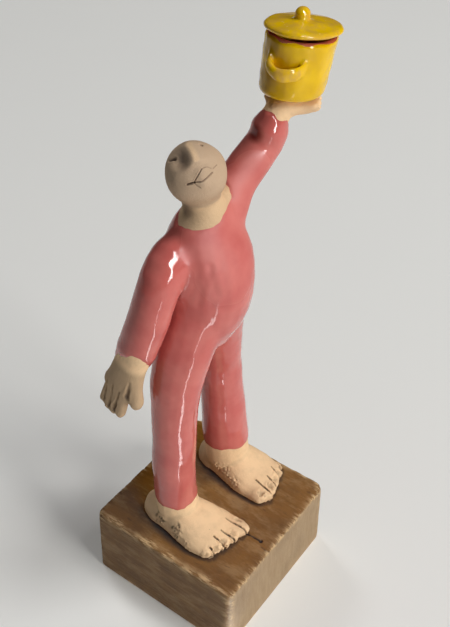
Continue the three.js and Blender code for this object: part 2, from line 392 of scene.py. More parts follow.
    def piece(self, name: str, finish: "Finish", node: str, place: Matrix = Matrix()) -> Thing:
        """Makes the finished piece in metres and puts it in its node's place.

        Args:
            name: The piece's name.
            finish: Its finish.
            node: The node that it replaces.
            place: Where its own axes lie in the row frame.

        Returns:
            The new object.
        """
        self.write()
        self.mesh.transform(place)
        self.mesh.transform(Matrix.Scale(MM, 4))
        self.mesh.shade_smooth()
        self.mesh.materials.clear()
        self.mesh.materials.append(finish.material())
        made = added(name, self.mesh)
        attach(made, BODY)
        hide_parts(node)
        self.mesh.calc_loop_triangles()
        log.info("%s: %d triangles", name, len(self.mesh.loop_triangles))
        return made


class Recipe:
    """One material's nodes, added one at a time around a single shader."""

    def __init__(self, name: str) -> None:
        """Starts a material with its shader.

        Args:
            name: The material's name.
        """
        self.material = bpy.data.materials.new(name)
        self.material.use_nodes = True
        self.tree = self.material.node_tree
        self.tree.nodes.clear()
        self.shader = self.add("BsdfPrincipled", {})
        self.add("OutputMaterial", {"Surface": self.shader.outputs["BSDF"]})
        self.place = self.add("TexCoord", {}).outputs["Object"]

    def feed(self, socket: Socket, value: Socket | float | Spot | Tint) -> None:
        """Links a socket to another, or sets it.

        Args:
            socket: The socket.
            value: Another socket, or a plain value, which is a screen colour where the socket takes one.
        """
        if isinstance(value, Socket):
            self.tree.links.new(value, socket)
        else:
            socket.default_value = colour(*value) if socket.type == "RGBA" else value

    def add(self, kind: str, given: dict) -> bpy.types.Node:
        """Adds a node.

        Args:
            kind: The node's kind, without what all shader nodes' kinds start with.
            given: What its sockets take, by their names or numbers.

        Returns:
            The node.
        """
        node = self.tree.nodes.new("ShaderNode" + kind)
        for socket, value in given.items():
            self.feed(node.inputs[socket], value)
        return node

    def noise(self, size: float, detail: float = 2, rough: float = 0.5, stretch: tuple = ()) -> Socket:
        """Adds cloudy noise.

        Args:
            size: The size of its largest patches in millimetres.
            detail: How many finer layers it has.
            rough: How strong they are.
            stretch: How much longer the patches get along each axis, if they do.

        Returns:
            A number from 0 to 1.
        """
        place = self.place
        if stretch:
            scale = tuple(1 / s for s in stretch)
            place = self.add("Mapping", {"Vector": place, "Scale": scale}).outputs["Vector"]
        given = {"Vector": place, "Scale": 1 / (size * MM), "Detail": detail, "Roughness": rough}
        return self.add("TexNoise", given).outputs["Fac"]

    def specks(self, spacing: float, radius: float, share: float) -> Socket:
        """Adds round specks.

        Args:
            spacing: About how far apart the places for specks are, in millimetres.
            radius: A large speck's radius in millimetres.
            share: The share of places that hold one.

        Returns:
            1 in a speck and 0 outside.
        """
        cells = self.add("TexVoronoi", {"Vector": self.place, "Scale": 1 / (spacing * MM)}).outputs
        chance = self.add("SeparateColor", {"Color": cells["Color"]}).outputs["Red"]
        chosen = self.span(chance, 1 - share, 1, 0, radius / spacing)
        edge = self.add("Math", {0: chosen, 1: cells["Distance"]})
        edge.operation = "SUBTRACT"
        return self.span(edge.outputs["Value"], 0, 0.25 * radius / spacing)

    def read(self, name: str) -> Socket:
        """Reads a number that the piece carries at each point.

        Args:
            name: The attribute's name.

        Returns:
            The number.
        """
        node = self.add("Attribute", {})
        node.attribute_name = name
        return node.outputs["Fac"]

    def span(
        self, value: Socket, low: float, high: float, start: Socket | float = 0, end: Socket | float = 1
    ) -> Socket:
        """Maps a number from one range to another, held at its ends.

        Args:
            value: The number.
            low: Where the first range starts.
            high: Where it ends.
            start: What low becomes.
            end: What high becomes.

        Returns:
            The mapped number.
        """
        names = ("Value", "From Min", "From Max", "To Min", "To Max")
        given = zip(names, (value, low, high, start, end))
        return self.add("MapRange", dict(given)).outputs["Result"]

    def blend(self, share: Socket, first: Socket | float, second: Socket | float) -> Socket:
        """Mixes two numbers by the share of the second."""
        return self.span(share, 0, 1, first, second)

    def scaled(self, share: Socket, value: Socket | float) -> Socket:
        """Scales a number by a share."""
        return self.span(share, 0, 1, 0, value)

    def layered(self, base: Socket | Tint, *coats: tuple[Socket, Socket | Tint]) -> Socket:
        """Lays colours over a first one.

        Args:
            base: The first colour.
            coats: How much each further colour covers, and the colour.

        Returns:
            The colour.
        """
        for share, tint in coats:
            node = self.add("Mix", {})
            node.data_type = "RGBA"
            for number, given in ((0, share), (6, base), (7, tint)):
                self.feed(node.inputs[number], given)
            base = node.outputs[2]
        return base

    def finish(
        self, base: Socket, rough: Socket | float, height: Socket, relief: float, ior: float = 1.5
    ) -> None:
        """Joins the last sockets to the shader.

        Args:
            base: The colour.
            rough: The roughness.
            height: The fine relief, about 0 to 1.
            relief: How many millimetres the relief's 1 stands for.
            ior: The index of refraction.
        """
        bump = self.add("Bump", {"Distance": relief * MM, "Height": height})
        given = {"Base Color": base, "Roughness": rough, "Normal": bump.outputs["Normal"], "IOR": ior}
        for name, value in given.items():
            self.feed(self.shader.inputs[name], value)


class Finish:
    """A finish that can make its material, and names the record's slot that it shows."""

    slot: Slot

    def material(self) -> bpy.types.Material:
        """Builds the material.

        Returns:
            The material.
        """
        raise NotImplementedError


@dataclass(frozen=True)
class GlazedClay(Finish):
    """Pink glaze over the clothed parts, and bare clay where the glaze attribute is below zero."""

    slot: Slot = Slot.PINK
    glaze: Tint = (196, 98, 92)
    thin: Tint = (206, 114, 106)
    pooled_and_shaded: Tint = (124, 32, 30)
    speck: Tint = (110, 40, 34)
    bare: Tint = (238, 202, 158)
    head: Tint = (188, 161, 133)
    # The hand tint is painted shade on the hanging hand and the neck, and also random mottling of the bare
    # clay.
    hand: Tint = (174, 146, 114)
    dirt_and_shade: Tint = (66, 42, 24)
    gloss: float = 0.06
    satin: float = 0.6
    matt: float = 0.82
    ior: float = 1.42

    def material(self) -> bpy.types.Material:
        """Builds the material.

        Returns:
            The material.
        """
        recipe = Recipe("glazed_clay")
        glazed = recipe.span(recipe.read("glaze"), -0.04, 0.04)
        hollow = recipe.read("hollow")
        pink = recipe.layered(
            self.glaze,
            (recipe.span(recipe.noise(9, 3), 0.35, 0.65), self.thin),
            # Creases darken the glaze: pooled glaze and painted crease shade, with painted shade in the
            # raised arm's dent.
            (recipe.span(hollow, 0.1, 0.9, 0, 0.85), self.pooled_and_shaded),
            (recipe.span(hollow, -0.3, -1, 0, 0.5), self.thin),
            (recipe.specks(3.2, 0.14, 0.3), self.speck),
        )
        base = recipe.layered(
            self.bare,
            (recipe.read("head"), self.head),
            # Painted shade on the hanging hand; the neck darkened by half.
            (recipe.read("hand"), self.hand),
            (recipe.span(recipe.noise(3.5, 4, 0.65), 0.45, 0.8, 0, 0.3), self.hand),
            # Creases in the bare clay are darkened: painted crease shade and soiling.
            (recipe.span(hollow, 0.15, 1, 0, 0.6), self.dirt_and_shade),
            # Darkened cuts, pokes and dents, with painted shade on the nose's left flank and under the
            # chin.
            (recipe.read("dirt_and_shade"), self.dirt_and_shade),
            (recipe.specks(1.3, 0.1, 0.3), self.dirt_and_shade),
            (glazed, pink),
        )
        streaky = recipe.span(recipe.noise(5, 2), 0.3, 0.7, self.gloss * 0.6, self.gloss * 1.8)
        rough = recipe.blend(glazed, self.matt, recipe.blend(recipe.read("satin"), streaky, self.satin))
        peel = recipe.scaled(recipe.noise(2.4, 1), 0.25)
        recipe.finish(base, rough, recipe.blend(glazed, recipe.noise(0.7, 3, 0.7), peel), 0.16, self.ior)
        return recipe.material


@dataclass(frozen=True)
class YellowGlaze(Finish):
    """Thick glossy yellow glaze, brown where it pools and where shade is painted, pale where worn, with
    painted glints on the worn parts and bare red clay at the rim.
    """

    slot: Slot = Slot.YELLOW
    glaze: Tint = (238, 194, 3)
    cloud: Tint = (226, 180, 3)
    pooled_and_shaded: Tint = (132, 84, 8)
    worn: Tint = (206, 160, 84)
    # Pale specks on the worn parts are painted glints.
    speck: Tint = (250, 226, 150)
    clay: Tint = (184, 82, 38)
    gloss: float = 0.05
    matt: float = 0.8
    ior: float = 1.42

    def material(self) -> bpy.types.Material:
        """Builds the material.

        Returns:
            The material.
        """
        recipe = Recipe("yellow_glaze")
        worn = recipe.read("worn")
        bare = recipe.span(recipe.read("bare"), 0.45, 0.55)
        rubbed = recipe.span(recipe.noise(3.5, 3, 0.6), 0.4, 0.62, 0, 0.75)
        base = recipe.layered(
            self.glaze,
            (recipe.span(recipe.noise(7, 3), 0.4, 0.65), self.cloud),
            (recipe.scaled(worn, rubbed), self.worn),
            # Hollows darken the glaze: pooled glaze, painted shade between lugs and wall, and the painted
            # shade patches on the left.
            (recipe.span(recipe.read("hollow"), 0.15, 0.9, 0, 0.9), self.pooled_and_shaded),
            # Painted glints: pale specks over the worn lugs and lid.
            (recipe.scaled(worn, recipe.specks(1.1, 0.22, 0.35)), self.speck),
            (bare, self.clay),
        )
        peel = recipe.scaled(recipe.noise(2.5, 1), 0.15)
        height = recipe.blend(bare, peel, recipe.noise(0.5, 3, 0.7))
        recipe.finish(base, recipe.blend(bare, self.gloss, self.matt), height, 0.12, self.ior)
        return recipe.material


@dataclass(frozen=True)
class BareWood(Finish):
    """Old bare softwood: grain along the block, dirty on top and lighter where it is rubbed."""

    slot: Slot = Slot.WOOD
    early: Tint = (140, 101, 50)
    late: Tint = (120, 83, 35)
    dirt_and_shade: Tint = (74, 45, 15)
    top: Tint = (134, 88, 28)
    sawn: Tint = (162, 137, 104)
    rubbed: Tint = (212, 178, 130)
    crack: Tint = (40, 20, 12)
    grain: Spot = (1, 14, 1)

    def material(self) -> bpy.types.Material:
        """Builds the material.

        Returns:
            The material.
        """
        recipe = Recipe("bare_wood")
        top = recipe.read("top")
        fibre = recipe.noise(0.8, 4, 0.65, self.grain)
        cross = recipe.layered(
            self.sawn,
            (recipe.span(recipe.noise(1.2, 3, 0.6, (1, 1, 7)), 0.35, 0.7, 0, 0.3), self.late),
            (recipe.span(recipe.noise(16, 3, 0.6), 0.5, 0.75, 0, 0.25), self.dirt_and_shade),
        )
        pits = recipe.span(recipe.noise(1.6, 3, 0.7, (1, 5, 1)), 0.6, 0.74, 0, 0.75)
        scuffed = recipe.span(recipe.noise(1.1, 4, 0.7, (1, 6, 1)), 0.45, 0.56)
        base = recipe.layered(
            self.early,
            (recipe.span(recipe.noise(6, 2, 0.5, self.grain), 0.35, 0.65), self.late),
            (recipe.span(fibre, 0.45, 0.75, 0, 0.35), self.dirt_and_shade),
            (recipe.scaled(top, 0.6), self.top),
            (recipe.span(recipe.noise(9, 4, 0.65), 0.45, 0.68, 0, 0.32), self.dirt_and_shade),
            (recipe.span(recipe.noise(5, 4, 0.7, (1, 3, 1)), 0.48, 0.66, 0, 0.24), self.rubbed),
            (recipe.read("end"), cross),
            (recipe.scaled(top, pits), self.dirt_and_shade),
            (recipe.scaled(recipe.read("edge"), scuffed), self.rubbed),
            # The crack colour darkens the crack and paints contact shadow and soiling around the feet.
            (recipe.read("dirt_and_shade"), self.crack),
        )
        recipe.finish(base, recipe.span(fibre, 0.3, 0.7, 0.62, 0.85), fibre, 0.25)
        return recipe.material


@dataclass(frozen=True)
class PaleFloor(Finish):
    """A plain pale matt floor that gives off a little light of its own, as a bright room would."""

    paint: Tint = (234, 234, 231)
    cloud: Tint = (218, 218, 218)
    matt: float = 0.6
    glow: float = 0.12

    def material(self) -> bpy.types.Material:
        """Builds the material.

        Returns:
            The material.
        """
        recipe = Recipe("pale_floor")
        base = recipe.layered(self.paint, (recipe.span(recipe.noise(60, 2), 0.3, 0.7, 0, 0.04), self.cloud))
        recipe.feed(recipe.shader.inputs["Emission Color"], self.paint)
        recipe.feed(recipe.shader.inputs["Emission Strength"], self.glow)
        recipe.finish(base, self.matt, recipe.noise(3, 2), 0.01)
        return recipe.material


@dataclass
class Face:
    """A ball head's simple face: a pinched nose, two poked eyes and a cut mouth.

    Places on it are given as how far across and how far up from its middle they lie. Eyes are a place, half
    a width and a height, and how dark the poke is painted as shade; pressed spots a place, a radius and a
    rise;
    the spot of painted shade with some soiling on the nose's left flank a place, a radius and a darkness;
    strokes their knots, half a width and a depth.
    """

    clay: Clay
    centre: Array
    radius: float = 8.6
    forward: Spot = (-0.58, -0.34, 0.74)
    up: Spot = (0.3, 0.755, 0.58)
    ridge_top: float = 8.6
    ridge_tip: float = -0.4
    ridge_rise: float = 1.1
    ridge_start: float = 1.2
    ridge_lean: float = -0.2
    left_flank: float = 3.2
    right_flank: float = 4.2
    eye_depth: float = 0.8
    eyes: tuple = ((-4.4, 4.8, 1.0, 0.6, 0.7), (4.3, 4.3, 0.45, 0.75, 0.5))
    pressed: tuple = ((-2.6, 2.9, 3.9, -1.4), (1.2, -3.6, 3.2, 0.5), (0.3, -6.0, 2.4, 0.3))
    flank_shade_and_smudge: tuple[float, float, float, float] = (-2.2, 2.6, 3, 0.4)
    strokes: tuple = (
        (((-3.8, -3.9), (-2.8, -4.2), (-1.8, -4.45)), 0.3, 0.8),
        (((-1.8, -4.45), (0, -4.95), (1.8, -4.7), (3.8, -4.0)), 0.22, 0.45),
        (((-1.8, -4.45), (-0.4, -3.5), (1.5, -2.3)), 0.22, 0.4),
        (((1.5, -2.3), (2.9, -2.2), (4.0, -2.9)), 0.18, 0.18),
        (((-1.8, -4.5), (-1.6, -5.3), (-0.9, -6.1)), 0.2, 0.3),
        (((4.5, -3.1), (5.8, -2.4)), 0.16, 0.15),
    )

    def __post_init__(self) -> None:
        """Works out the directions of the face."""
        ahead = unit(self.forward)
        side = unit(np.cross(self.up, ahead))
        self.ways = np.array([side, np.cross(ahead, side), ahead])

    def places(self) -> Array:
        """Finds how far across, up and ahead of the middle each point lies, seen on the ball."""
        return (unit(self.clay.points - self.centre) @ self.ways.T * self.radius).T

    def distance(self) -> Array:
        """Measures how far each point is from the head's middle."""
        return np.linalg.norm(self.clay.points - self.centre, axis=1)

    def relief(self, across: Array, up: Array) -> Array:
        """Works out how far the nose, lips and pressed hollows stand from the ball.

        Args:
            across: Places across.
            up: Places up.

        Returns:
            The height at each place.
        """
        down = np.clip((self.ridge_top - up) / (self.ridge_top - self.ridge_tip), 0, 1)
        under = eased(up, self.ridge_tip - 1.1, self.ridge_tip + 0.5)
        aside = across - self.ridge_start - self.ridge_lean * down
        aside = aside / np.where(aside < 0, self.left_flank, self.right_flank) / (0.85 + 0.15 * down)
        rise = self.ridge_rise * eased(down, 0, 0.35) * (0.7 + 0.3 * down) * under * np.exp(-2.4 * aside**2)
        for a, u, radius, depth in self.pressed:
            rise = rise + depth * eased(np.hypot(across - a, up - u), radius, 0)
        return rise

    def shape(self) -> None:
        """Models the face on the head's skin and refines it."""
        clay = self.clay
        reach = self.radius + 3.5
        for half_width, half_height in ((9, 9), (6.6, 7.6)):
            across, up, ahead = self.places()
            front = (ahead > 0.5) & (self.distance() < reach)
            clay.refine(front & (np.abs(across) < half_width) & (np.abs(up) < half_height))
        across, up, ahead = self.places()
        distance = self.distance()
        ball = self.radius**2 / np.sqrt(across**2 + (up / 1.03) ** 2 + (ahead / 0.98) ** 2)
        lift = ball + self.relief(across, up) - distance
        share = eased(ahead, -1, 2) * eased(up, -7.6, -6.2) * eased(distance, reach + 1, reach)
        clay.points += (share * lift)[:, None] * unit(clay.points - self.centre)
        clay.smooth(3, share)

    def carve(self) -> None:
        """Pokes the eyes and cuts the mouth, darkens both in colour, and paints shade on the nose's left
        flank.
        """
        clay = self.clay
        across, up, ahead = self.places()
        front = (ahead > 0) & (self.distance() < self.radius + 3)
        for middle, height, half_width, half_height, darkness in self.eyes:
            wide = (across - middle + 0.3 * (up - height)) / half_width
            gap = np.hypot(wide, (up - height) / half_height) + 0.18 * ripple(clay.points, 1.6, 14)
            hole = front * eased(gap, 1.15, 0.3)
            clay.move(-self.eye_depth * hole)
            # Painted shade: each eye poke is darkened in colour by its darkness, the larger one more.
            clay.darken(darkness * hole)
        # Painted shade, with some soiling, darkens a spot on the nose's left flank.
        middle, height, radius, darkness = self.flank_shade_and_smudge
        gap = np.hypot(across - middle, (up - height) / 1.6)
        clay.darken(darkness * front * eased(gap, radius, radius * 0.3))
        spots = np.column_stack([across, up])
        for knots, half, depth in self.strokes:
            gap = np.where(front, line_distance(spots, through(knots, 6 * len(knots))), FAR)
            share = clay.cut(gap, half, depth)
            # The cut lines are darkened in colour, more where they are deeper.
            clay.darken(np.minimum(0.85, 1.4 * share) * (0.3 + 0.7 * depth))


@dataclass(frozen=True)
class Foot:
    """A bare foot's toes, nails and torn patches, as lines and places in plan.

    A nail is x, y and its height above the soles, and a torn patch has a radius too. The first few
    patches, as many as tears says, hold small tears.
    """

    cuts: tuple
    nails: tuple
    torn: tuple
    tears: int = 0
    tears_each: int = 11
    toe_height: float = 8
    cut_half: float = 0.32
    cut_depth: float = 1.0
    nail_radius: float = 1.2
    nail_depth: float = 0.5
    nail_brim: float = 0.22

    def gap(self, clay: Clay, soles: float) -> Array:
        """Measures how far each point of the toes is, in plan, from the cuts between them."""
        gaps = [line_distance(clay.points[:, :2], cut) for cut in self.cuts]
        return np.where(clay.points[:, 2] < soles + self.toe_height, np.min(gaps, axis=0), FAR)

    def patches(self, clay: Clay, soles: float) -> list[Array]:
        """Marks the points of each torn patch."""
        return [clay.near((x, y, soles + z), reach - 0.1, reach) > 0 for x, y, z, reach in self.torn]

    def refine(self, clay: Clay, soles: float) -> None:
        """Makes the skin finer where the foot's marks come.

        Args:
            clay: The figure's skin.
            soles: How high the soles are.
        """
        clay.refine(self.gap(clay, soles) < 1.1)
        for number in range(len(self.torn)):
            clay.refine(self.patches(clay, soles)[number])

    def shape(self, clay: Clay, soles: float) -> None:
        """Cuts the toes apart, presses the nails and tears the sides.

        Args:
            clay: The figure's skin.
            soles: How high the soles are.
        """
        for x, y, height in self.nails:
            away = clay.points - [x, y, soles + height]
            gap = np.linalg.norm(away * [1, 0.9, 0.5], axis=1) + 0.2 * ripple(clay.points, 1.4, 62)
            dent = eased(gap, self.nail_radius * 1.2, self.nail_radius * 0.5)
            brim = eased(gap, self.nail_radius * 1.9, self.nail_radius * 1.3)
            clay.move(self.nail_brim * brim - (self.nail_brim + self.nail_depth) * dent)
            # The nail dents are darkened in colour.
            clay.darken(0.36 * dent)
        share = clay.cut(self.gap(clay, soles), self.cut_half, self.cut_depth, 0.2)
        # The toe cuts are darkened in colour.
        clay.darken(np.minimum(0.9, 1.6 * share))
        random = np.random.default_rng(71)
        for number in range(self.tears):
            picks = np.flatnonzero(self.patches(clay, soles)[number])
            starts = clay.points[random.choice(picks, self.tears_each)]
            ends = starts + random.normal((0.3, -0.2, 1.1), (0.4, 0.3, 0.4), starts.shape)
            gaps = [line_distance(clay.points, pair) for pair in zip(starts, ends)]
            share = clay.cut(np.min(gaps, axis=0), 0.28, 0.5, 0.9)
            # The tears are darkened in colour.
            clay.darken(np.minimum(0.6, 1.1 * share))
        for x, y, height, radius in self.torn:
            patch = clay.near((x, y, soles + height), radius * 0.6, radius + 1)
            clay.move(0.1 * patch * ripple(clay.points, 1.1, 61))


@dataclass
class Glaze:
    """Where the pink glaze ends: the neckline, both cuffs and both hems, as heights above the soles.

    The low hand lies between two heights and beyond a line in plan, which leans as the height grows. The
    raised arm lies beyond an x and a height. Cuffs and neckline are a height and its slopes.
    """

    soles: float
    head_centre: Array
    neckline: Pair = (125.6, 0.33)
    neck_axis: Pair = (1.1, 1.2)
    neck_radius: float = 8.2
    head_reach: float = 9.9
    low_hand: tuple[float, float, float, float] = (40, 95, 31, 0.1)
    low_cuff: Spot = (54.55, -1.239, -0.228)
    raised_arm: Pair = (15, 100)
    high_cuff: Spot = (148.2, -0.85, 23.3)
    near_hem: float = 14.7
    far_hem: float = 18.2
    thickness: float = 0.28

    def inside(self, points: Array) -> Array:
        """Measures how far each point lies inside the glaze.

        Args:
            points: Rows of three coordinates.

        Returns:
            The distance in millimetres, below zero on bare clay.
        """
        x, y, z = points.T
        z = z - self.soles
        height, slope = self.neckline
        above = (z - height - slope * x) / math.hypot(1, slope)
        axis = np.hypot(x - self.neck_axis[0], y - self.neck_axis[1])
        ball = self.head_reach - np.linalg.norm(points - self.head_centre, axis=1)
        bare = np.maximum(np.minimum(above, self.neck_radius - axis), np.minimum(ball, above + 1))
        low, high, aside, lean = self.low_hand
        hand = (0.6 * y - x > aside - lean * z) & (z < high) & (z > low)
        height, along_x, along_y = self.low_cuff
        cuff = (z - height - along_x * x - along_y * y) / math.sqrt(1 + along_x**2 + along_y**2)
        edge = np.minimum(-bare, np.where(hand, cuff, FAR))
        raised = (x > self.raised_arm[0]) & (z > self.raised_arm[1])
        height, slope, start = self.high_cuff
        cuff = -(z - height - slope * (x - start)) / math.hypot(1, slope)
        edge = np.minimum(edge, np.where(raised, cuff, FAR))
        edge = np.minimum(edge, z - np.where(x < 0, self.near_hem, self.far_hem))
        wavy = 0.34 * ripple(points, 8, 21) + 0.12 * ripple(points, 2.6, 22)
        return np.clip(edge + wavy + 0.18 * raised * ripple(points, 1.8, 24), -FAR, FAR)


@dataclass
class Figure:
    """The clay figure: one piece from its toes to its raised palm.

    Its heights are above the soles. Each soft ball is its middle, its inner distance and its outer one, a
    toe push its place, reach and way, and a finger cut its ends and half its width.
    """

    soles: float
    finish: Finish = GlazedClay()
    voxel: float = 0.72
    head: Spot = (0.6, 2.6, 137)
    feet: tuple[Foot, Foot] = (
        Foot(
            cuts=(
                ((-7.4, -11.9), (-6.3, -20.4)),
                ((-12.6, -13.8), (-11.4, -20)),
                ((-16.3, -13.4), (-15.5, -19)),
                ((-20, -14.4), (-19.9, -18)),
            ),
            nails=(
                (-4.6, -15.4, 4.6),
                (-10.3, -17.2, 4),
                (-15.2, -16.5, 4),
                (-18.9, -16.4, 3.6),
                (-23, -14.9, 3.4),
            ),
            torn=((-21.4, 6.8, 5.2, 2.8), (-22.8, -1.6, 5, 3.4), (-23.6, -7.2, 3.6, 2.6)),
            tears=2,
        ),
        Foot(
            cuts=(
                ((12.5, -11), (12.7, -19.5)),
                ((16.9, -13), (16.6, -19)),
                ((21.4, -11.8), (20.5, -18)),
                ((25.3, -11.4), (24.2, -17)),
            ),
            nails=(
                (9.7, -15.2, 4.6),
                (14.6, -16, 4.4),
                (18.4, -15.6, 4.2),
                (21.8, -14.8, 3.9),
                (24.8, -13.8, 3.4),
            ),
            torn=((9.6, 6, 6, 4), (8.6, 1.6, 8, 4), (7.6, -4, 4, 3.6)),
        ),
    )
    toe_pushes: tuple = (
        ((7.6, -14.6), 5.5, (-0.93, -0.76)),
        ((8.4, -18.8), 4.2, (0.5, 1.3)),
        ((12.4, -18), 3.2, (0.2, -0.3)),
        ((-3.4, -12), 6.5, (1.1, 0.3)),
        ((-4.6, -18), 4.5, (0.7, -0.9)),
        ((24, -14), 5.5, (0.4, -0.4)),
    )
    toes: Pair = (15, 9)
    palm: Pair = (144, 147)
    palm_side: Pair = (18, 22)
    folds: tuple = (((-8.3, -8.5, 115), (-11.5, -6, 102.5)), ((-8.3, -8.5, 115), (-8.1, -10.7, 105.5)))
    fold_half: float = 1.3
    fold_depth: float = 0.13
    undercut_depth: float = 1.2
    finger_cuts: tuple = (
        ((-26.7, 18.6, 71.8), (-26, 22.2, 59.6), 0.55),
        ((-27.4, 15.7, 71.4), (-26.4, 20.1, 58.4), 0.65),
        ((-27.5, 13.4, 69.4), (-26.6, 17.7, 58.4), 0.8),
        ((-27.4, 8.7, 75.8), (-27.2, 10.7, 68.1), 1.0),
    )
    low_hand: tuple = ((-25, 17, 63), 10, 15)
    fingers: tuple = ((-25, 16, 64), 10, 12)
    wrist: tuple = ((-24, 11, 77), 6, 12)
    crotch: tuple = ((0, 2, 88), 6, 10)
    armpit: tuple = ((12, 0, 114), 5, 10)
    neck: tuple = ((0, 1, 126), 8, 12)
    # Painted shade: the hanging hand's ball, the shadow under the chin and the dark of the raised arm's
    # dent.
    low_hand_shade: tuple = ((-25, 15, 66), 14, 18)
    chin_shadow: tuple = ((-4.2, 2.4, 127.4), 0.5, 3.4)
    arm_dent_shade: tuple = ((19.7, -3.8, 142.7), 1, 3.8)
    satin: tuple = (
        ((-2, -10, 121), 6, 18),
        ((-3, -12, 112), 5, 15),
        ((9, -6, 129), 13 / 3, 13),
        ((14, -7, 134), 3, 9),
        ((-9, -3, 118.5), 5.5 / 3, 5.5),
    )

    def ball(self, clay: Clay, ball: tuple) -> Array:
        """Marks a soft ball on the skin."""
        (x, y, height), inner, outer = ball
        return clay.near((x, y, height + self.soles), inner, outer)

    def build(self, node: Thing) -> Thing:
        """Models the figure from its solid.

        Args:
            node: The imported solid.

        Returns:
            The piece.
        """
        clay = Clay.copied(node, self.voxel)
        self.soften(clay)
        self.spread_toes(clay)
        face = Face(clay, np.array(self.head) + [0, 0, self.soles])
        face.shape()
        glaze = Glaze(self.soles, face.centre)
        self.refine(clay, glaze)
        inside = glaze.inside(clay.points)
        hollow = clay.hollows(20, 0.45)
        clay.move(0.06 * ripple(clay.points, 13, 5) + 0.012 * ripple(clay.points, 4.2, 6))
        clay.move(glaze.thickness * eased(inside, -0.05, 0.7))
        face.carve()
        for foot in self.feet:
            foot.shape(clay, self.soles)
        self.cut(clay)
        self.undercut(clay)
        # Painted shadow under the chin, on the neck's left side.
        clay.darken(0.6 * self.ball(clay, self.chin_shadow))
        clay.paint("glaze", inside)
        # Hollows darken the glaze where it pools, with painted shade in the creases, and painted shade
        # fills the raised arm's dent.
        clay.paint("hollow", np.maximum(hollow, 0.9 * self.ball(clay, self.arm_dent_shade)))
        clay.paint("dirt_and_shade", clay.dirt_and_shade)
        clay.paint("head", clay.near(face.centre, 9.3, 9.8))
        # Painted shade darkens the hanging hand's clay, and the neck is darkened by half as much.
        hand_shade_and_neck_tint = np.maximum(0.8 * self.ball(clay, self.low_hand_shade), 0.5 * self.ball(clay, self.neck))
        clay.paint("hand", hand_shade_and_neck_tint)
        clay.paint("satin", np.max([self.ball(clay, ball) for ball in self.satin], axis=0))
        return clay.piece("figure_clay", self.finish, "figure")

    def soften(self, clay: Clay) -> None:
        """Rounds the solid's edges, and keeps its fingers, toes and the gaps between its limbs.

        Args:
            clay: The figure's skin.
        """
        x, y, height = (clay.points - [0, 0, self.soles]).T
        toes = eased(height, *self.toes)
        low_hand = self.ball(clay, self.low_hand)
        high_hand = eased(height, *self.palm) * eased(x, *self.palm_side)
        fine = np.maximum(np.maximum(toes, low_hand), high_hand)
        gaps = np.maximum(self.ball(clay, self.crotch), self.ball(clay, self.armpit))
        wrist = self.ball(clay, self.wrist)
        clay.smooth(26, 1 - 0.8 * fine)
        for rounds, share in (
            (46, (1 - fine) * (1 - 0.8 * gaps)),
            (46, toes * eased(y, -6, -10)),
            (70, low_hand),
            (12, high_hand),
        ):
            clay.fill(rounds, share)
        clay.smooth(70, wrist, 0)
        clay.smooth(12, 1 - 0.6 * fine)

    def spread_toes(self, clay: Clay) -> None:
        """Pushes the toes' ends to their full, blunt outlines.

        Args:
            clay: The figure's skin.
        """
        for (x, y), reach, push in self.toe_pushes:
            share = clay.near((x, y, self.soles + 2.5), 1, reach)
            clay.points[:, :2] += share[:, None] * push
        ends = (clay.points[:, 1] < -12) & (clay.points[:, 2] < self.soles + 7)
        clay.smooth(10, ends * 0.8)

    def refine(self, clay: Clay, glaze: Glaze) -> None:
        """Makes the skin finer at the glaze's edges, the toes, the fingers and the torn patches.

        Args:
            clay: The figure's skin.
            glaze: Where the glaze ends.
        """
        clay.refine(np.abs(glaze.inside(clay.points)) < 0.7)
        clay.refine((clay.points[:, 2] < self.soles + 7) & (clay.points[:, 1] < -9))
        clay.refine(self.ball(clay, self.fingers) > 0.5)
        for foot in self.feet:
            foot.refine(clay, self.soles)
        clay.smooth(2, eased(clay.points[:, 2], self.soles + 12, self.soles + 9))

    def cut(self, clay: Clay) -> None:
        """Cuts the low hand's fingers apart and presses two folds into the chest.

        Args:
            clay: The figure's skin.
        """
        lift = np.array([0, 0, self.soles])
        for start, end, half in self.finger_cuts:
            start, end = start + lift, end + lift
            run = end - start
            along = np.clip((clay.points - start) @ run / (run @ run), 0, 1)
            ragged = 1 + 0.2 * ripple(clay.points, 3, 23)
            gap = line_distance(clay.points, (start, end))
            share = clay.cut(gap / ((0.4 + 0.6 * along) * ragged), half, 1.0) * (0.5 + 0.5 * along)
            # The finger cuts are darkened in colour.
            clay.darken(0.75 * share)
        for fold in self.folds:
            clay.cut(line_distance(clay.points, fold + lift), self.fold_half, self.fold_depth, 0.2)

    def undercut(self, clay: Clay) -> None:
        """Draws the feet in just above the block, so that they stand on a narrow dark gap."""
        share = eased(clay.points[:, 2] - self.soles, 1.5, 0.7)
        clay.points[:, :2] -= (self.undercut_depth * share)[:, None] * clay.normals()[:, :2]


@dataclass
class PotPlace:
    """Where the pot stands on the palm, how its foot and rim tilt, and how far its wall leans aside."""

    soles: float
    foot: Spot = (32.7, -6.5, 150.5)
    up: Spot = (0.1235, 0, 1)
    lean: Pair = (0.87, -1.43)
    height: float = 17.8

    def matrix(self) -> Matrix:
        """Places what stands on the palm, its foot's middle at the start of its own axes."""
        turn = Vector((0, 0, 1)).rotation_difference(Vector(self.up)).to_matrix().to_4x4()
        return Matrix.Translation(Vector(self.foot) + Vector((0, 0, self.soles))) @ turn

    def leaning(self) -> Matrix:
        """Leans the wall aside while foot and rim stay level.

        Returns:
            The change, in the pot's own axes.
        """
        lean = Matrix.Identity(4)
        lean[0][2], lean[1][2] = (aside / self.height for aside in self.lean)
        return lean


